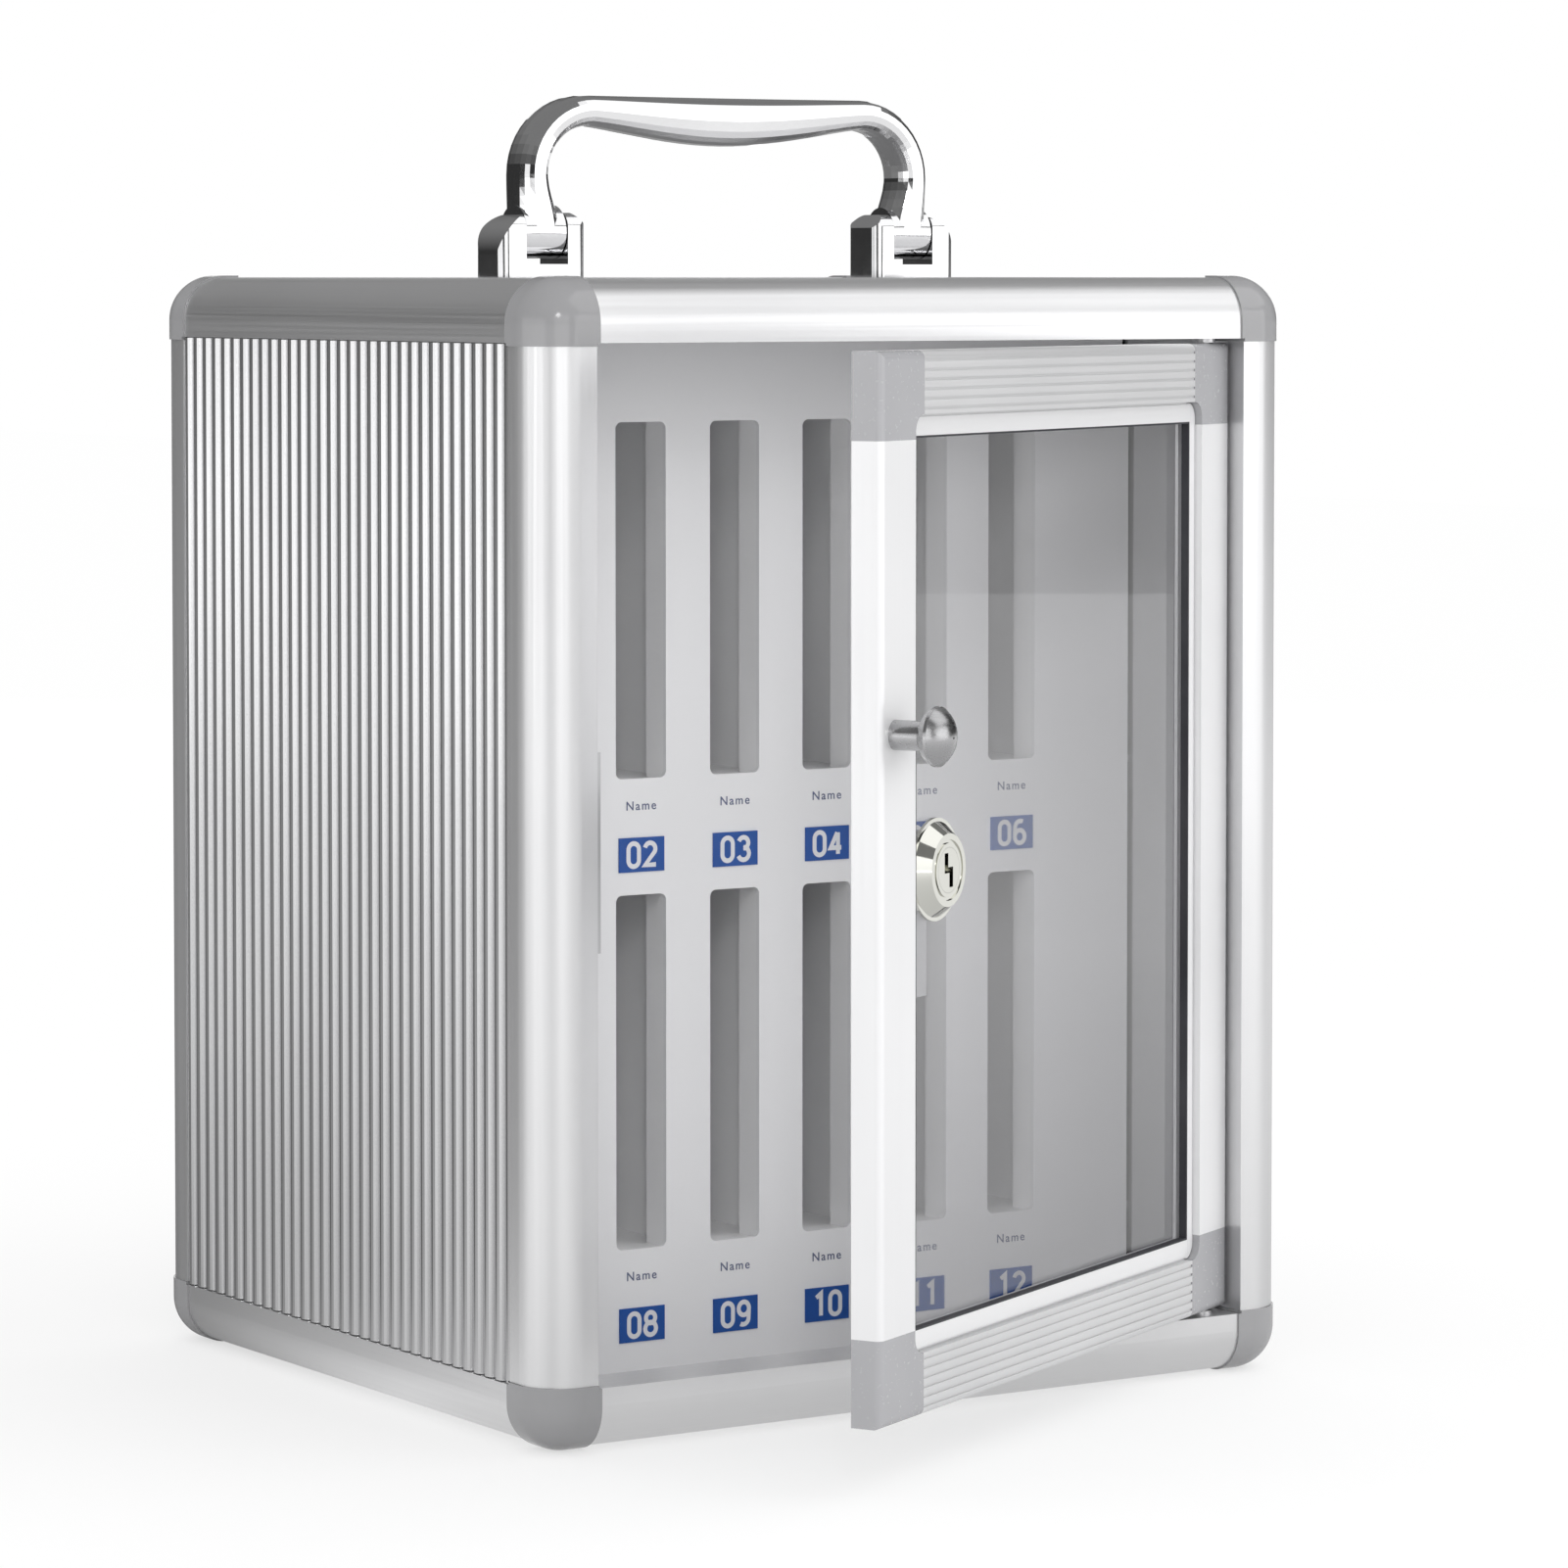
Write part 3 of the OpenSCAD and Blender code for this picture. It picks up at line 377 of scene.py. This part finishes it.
# Strokes of each digit, in a cell of this size
CELL_W = 4
CELL_H = 7
ADVANCE = 5.3
DIGITS = {
    "0": [arc(2, 5, 1.7, 1.7, 0, 180) + arc(2, 2, 1.7, 1.7, 180, 360) + [(3.7, 5)]],
    "1": [[(0.9, 5.5), (2.5, 6.6), (2.5, 0.3)]],
    "2": [arc(2, 4.95, 1.7, 1.7, 165, -30) + [(0.4, 0.55), (3.9, 0.55)]],
    "3": [arc(1.95, 5.05, 1.6, 1.55, 160, -90), arc(1.95, 2.05, 1.8, 1.75, 90, -160)],
    "4": [[(2.9, 0.3), (2.9, 6.4)], [(2.6, 6.4), (0.4, 2.1), (4.0, 2.1)]],
    "5": [[(3.6, 6.4), (0.9, 6.4), (0.7, 3.7)] + arc(2, 2.3, 1.75, 1.95, 130, -155)],
    "6": [arc(2.2, 4.9, 1.8, 1.8, 60, 170) + [(0.3, 2.2)], arc(2, 2.2, 1.7, 1.85, 0, 360, 24)],
    "7": [[(0.3, 6.4), (3.7, 6.4), (1.5, 0.3)]],
    "8": [arc(2, 5.1, 1.5, 1.5, 0, 360, 24), arc(2, 2.1, 1.75, 1.75, 0, 360, 24)],
    "9": [arc(1.8, 2.1, 1.8, 1.8, 240, 350) + [(3.7, 4.8)], arc(2, 4.8, 1.7, 1.85, 0, 360, 24)],
}
# At a bend the mean of the two directions counts as no shorter than this, so mitres stay short
MITRE = 0.45


def mitre(before, point, after):
    """A stroke's direction at a point, stretched at a bend so that the width stays even."""
    ways = []
    for start, end in ((before, point), (point, after)):
        if start and end and math.dist(start, end) > 1e-6:
            step = math.dist(start, end)
            ways.append(((end[0] - start[0]) / step, (end[1] - start[1]) / step))
    along_x = sum(way[0] for way in ways) / len(ways)
    along_y = sum(way[1] for way in ways) / len(ways)
    size = max(math.hypot(along_x, along_y), MITRE)
    return along_x / size / size, along_y / size / size


def print_digits(name, words, x, y, z):
    """Bold digits as flat ribbons on a face that looks along -Y, centred on x and z.

    Each stroke of a digit lies a little in front of the one before, so that none coincide.
    """
    k = DIGIT_H / CELL_H
    left = -(ADVANCE * (len(words) - 1) + CELL_W) / 2
    verts, faces = [], []
    for i, letter in enumerate(words):
        for layer, stroke in enumerate(DIGITS[letter]):
            front = y - LAYER_STEP * layer
            line = [(k * (left + i * ADVANCE + px), k * (py - CELL_H / 2)) for px, py in stroke]
            closed = math.dist(line[0], line[-1]) < 1e-3
            first = len(verts)
            for j, point in enumerate(line):
                before = line[j - 1] if j else (line[-2] if closed else None)
                after = line[j + 1] if j < len(line) - 1 else (line[1] if closed else None)
                along_x, along_y = mitre(before, point, after)
                for side in (-STROKE / 2, STROKE / 2):
                    verts.append((MM * (x + point[0] - side * along_y), front * MM,
                                  MM * (z + point[1] + side * along_x)))
                if j:
                    a = first + 2 * j
                    faces.append((a - 2, a, a + 1, a - 1))
    mesh = bpy.data.meshes.new(name)
    mesh.from_pydata(verts, [], faces)
    print_piece(name, mesh, white_ink)


number = 1
for row in (1, 0):
    for column in range(COLUMNS):
        centre = (column - (COLUMNS - 1) / 2) * COLUMN
        slot_z = CASE_FOOT + SLOT_LOW + row * ROW
        plate_z = slot_z - PLATE_DROP - PLATE_H / 2
        print_digits(f"number_{number:02d}", f"{number:02d}", centre,
                     SLOT_Y - PLATE_T - PRINT_GAP, plate_z)
        print_label(f"label_{number:02d}", "Name", centre, SLOT_Y - PRINT_GAP,
                    slot_z - LABEL_DROP)
        number += 1

# Studio
scene = bpy.context.scene
scene.view_settings.view_transform = "Standard"


def white_floor():
    """Pale floor that fades to white for the camera and glows for metal and glass."""
    mat, nt, bsdf = new_mat("floor_white")
    bsdf.inputs["Base Color"].default_value = (*grey(0.88), 1)
    bsdf.inputs["Roughness"].default_value = 0.8
    path = add(nt, "ShaderNodeLightPath")
    place = add(nt, "ShaderNodeTexCoord").outputs["Object"]
    length = add(nt, "ShaderNodeVectorMath", operation="LENGTH")
    nt.links.new(place, length.inputs[0])
    away = length.outputs["Value"]
    far = remap(nt, away, 0.6, 0.97, 0.1, 0.9)

    # The glow is bright in front and to the right, brightest to the left, and dim at the back
    axes = split(nt, place)
    to_back = calc(nt, "DIVIDE", calc(nt, "MULTIPLY_ADD", axes["X"], -0.18, axes["Y"]), away)
    to_right = calc(nt, "DIVIDE", axes["X"], away)
    glow = calc(nt, "ADD", remap(nt, to_back, 0.98, 0.20, 0.0, 0.94),
                remap(nt, to_right, 0.28, 0.0, -1.0, -0.70))
    # Near the box the glow is dimmer: a painted shadow of the box in what metal and glass reflect
    glow = calc(nt, "MULTIPLY", glow, remap(nt, away, 0.66, 1.0, 0.15, 1.1))

    glossy = path.outputs["Is Glossy Ray"]
    light = add(nt, "ShaderNodeEmission")
    light.inputs["Color"].default_value = WHITE
    put(nt, blend(nt, glossy, 1.0, glow), light.inputs["Strength"])
    seen = calc(nt, "MULTIPLY", path.outputs["Is Camera Ray"], far)
    mix = add(nt, "ShaderNodeMixShader")
    put(nt, calc(nt, "MAXIMUM", seen, glossy), mix.inputs["Fac"])
    nt.links.new(bsdf.outputs["BSDF"], mix.inputs[1])
    nt.links.new(light.outputs["Emission"], mix.inputs[2])
    nt.links.new(mix.outputs["Shader"], nt.nodes["Material Output"].inputs["Surface"])
    return mat


# The floor ends on the right, where metal then sees the world's wall
FLOOR = 30
FLOOR_RIGHT = 3.95
mesh = bpy.data.meshes.new("floor")
mesh.from_pydata([(-FLOOR, -FLOOR, 0), (FLOOR_RIGHT, -FLOOR, 0), (FLOOR_RIGHT, FLOOR, 0),
                  (-FLOOR, FLOOR, 0)], [], [(0, 1, 2, 3)])
floor = bpy.data.objects.new("floor", mesh)
scene.collection.objects.link(floor)
mesh.materials.append(white_floor())


def white_world():
    """White for the camera and through glass; metal and glass reflect a dim room.

    The room is paler overhead and has a pale wall low on the right.
    """
    world = bpy.data.worlds.new("studio")
    world.use_nodes = True
    nt = world.node_tree
    path = add(nt, "ShaderNodeLightPath")
    plain = calc(nt, "MAXIMUM", path.outputs["Is Camera Ray"], path.outputs["Is Transmission Ray"])
    level = blend(nt, plain, 1.04, 1.0)

    axes = split(nt, add(nt, "ShaderNodeTexCoord").outputs["Generated"])
    overhead = remap(nt, axes["Z"], 0.035, 0.21, 0.10, 0.5)
    wall = calc(nt, "MULTIPLY", remap(nt, axes["Z"], 0.75, 0.38, -0.062, -0.012),
                remap(nt, axes["Z"], 1.0, 0.1, -0.008, 0.012))
    room = blend(nt, remap(nt, axes["X"], 0.0, 1.0, 0.75, 0.95), overhead, wall)

    back = nt.nodes["Background"]
    back.inputs["Color"].default_value = WHITE
    put(nt, blend(nt, path.outputs["Is Glossy Ray"], level, room), back.inputs["Strength"])
    return world


scene.world = white_world()


def softbox(name, place, target, width, height, level):
    """A soft lamp whose face has the given brightness, where 1 is white."""
    lamp = bpy.data.lights.new(name, "AREA")
    lamp.shape = "RECTANGLE"
    lamp.size = width
    lamp.size_y = height
    lamp.energy = level * math.pi * width * height
    obj = bpy.data.objects.new(name, lamp)
    scene.collection.objects.link(obj)
    obj.location = place
    obj.rotation_euler = (Vector(target) - Vector(place)).to_track_quat("-Z", "Y").to_euler()


# Place and target in metres, then width, height and brightness
softbox("front_right", (1.40, -2.10, 0.60), (0, 0, 0.15), 2.3, 1.2, 1.60)
softbox("top_front", (1.15, -0.95, 1.75), (0, 0, 0.15), 2.0, 1.5, 1.05)
softbox("wall_left", (-2.40, -0.05, 0.38), (0, 0, 0.15), 2.8, 0.9, 1.02)
softbox("wall_front", (-0.86, -2.24, 0.60), (0, 0, 0.15), 1.45, 1.3, 1.25)
softbox("spot", (-1.00, -1.75, 1.10), (0, 0, 0.20), 0.3, 0.3, 14)
softbox("back_right", (1.35, 2.05, 0.45), (0, 0, 0.25), 1.8, 0.7, 1.0)

# Camera at the photograph's viewpoint; the lens and the horizon's row in the photograph's pixels
PHOTO = 1601
LENS = 6079.3
CENTRE_ROW = 559.1
SENSOR = 36
TILT_DOWN = 2.63
HEADING = 32.70
data = bpy.data.cameras.new("camera")
data.sensor_width = SENSOR
data.lens = LENS / PHOTO * SENSOR
data.shift_y = (CENTRE_ROW - PHOTO / 2) / PHOTO
data.clip_end = 100
camera = bpy.data.objects.new("camera", data)
scene.collection.objects.link(camera)
camera.location = (-0.8485, -1.3557, 0.2914)
camera.rotation_euler = (math.radians(90 - TILT_DOWN), 0, math.radians(-HEADING))
scene.camera = camera
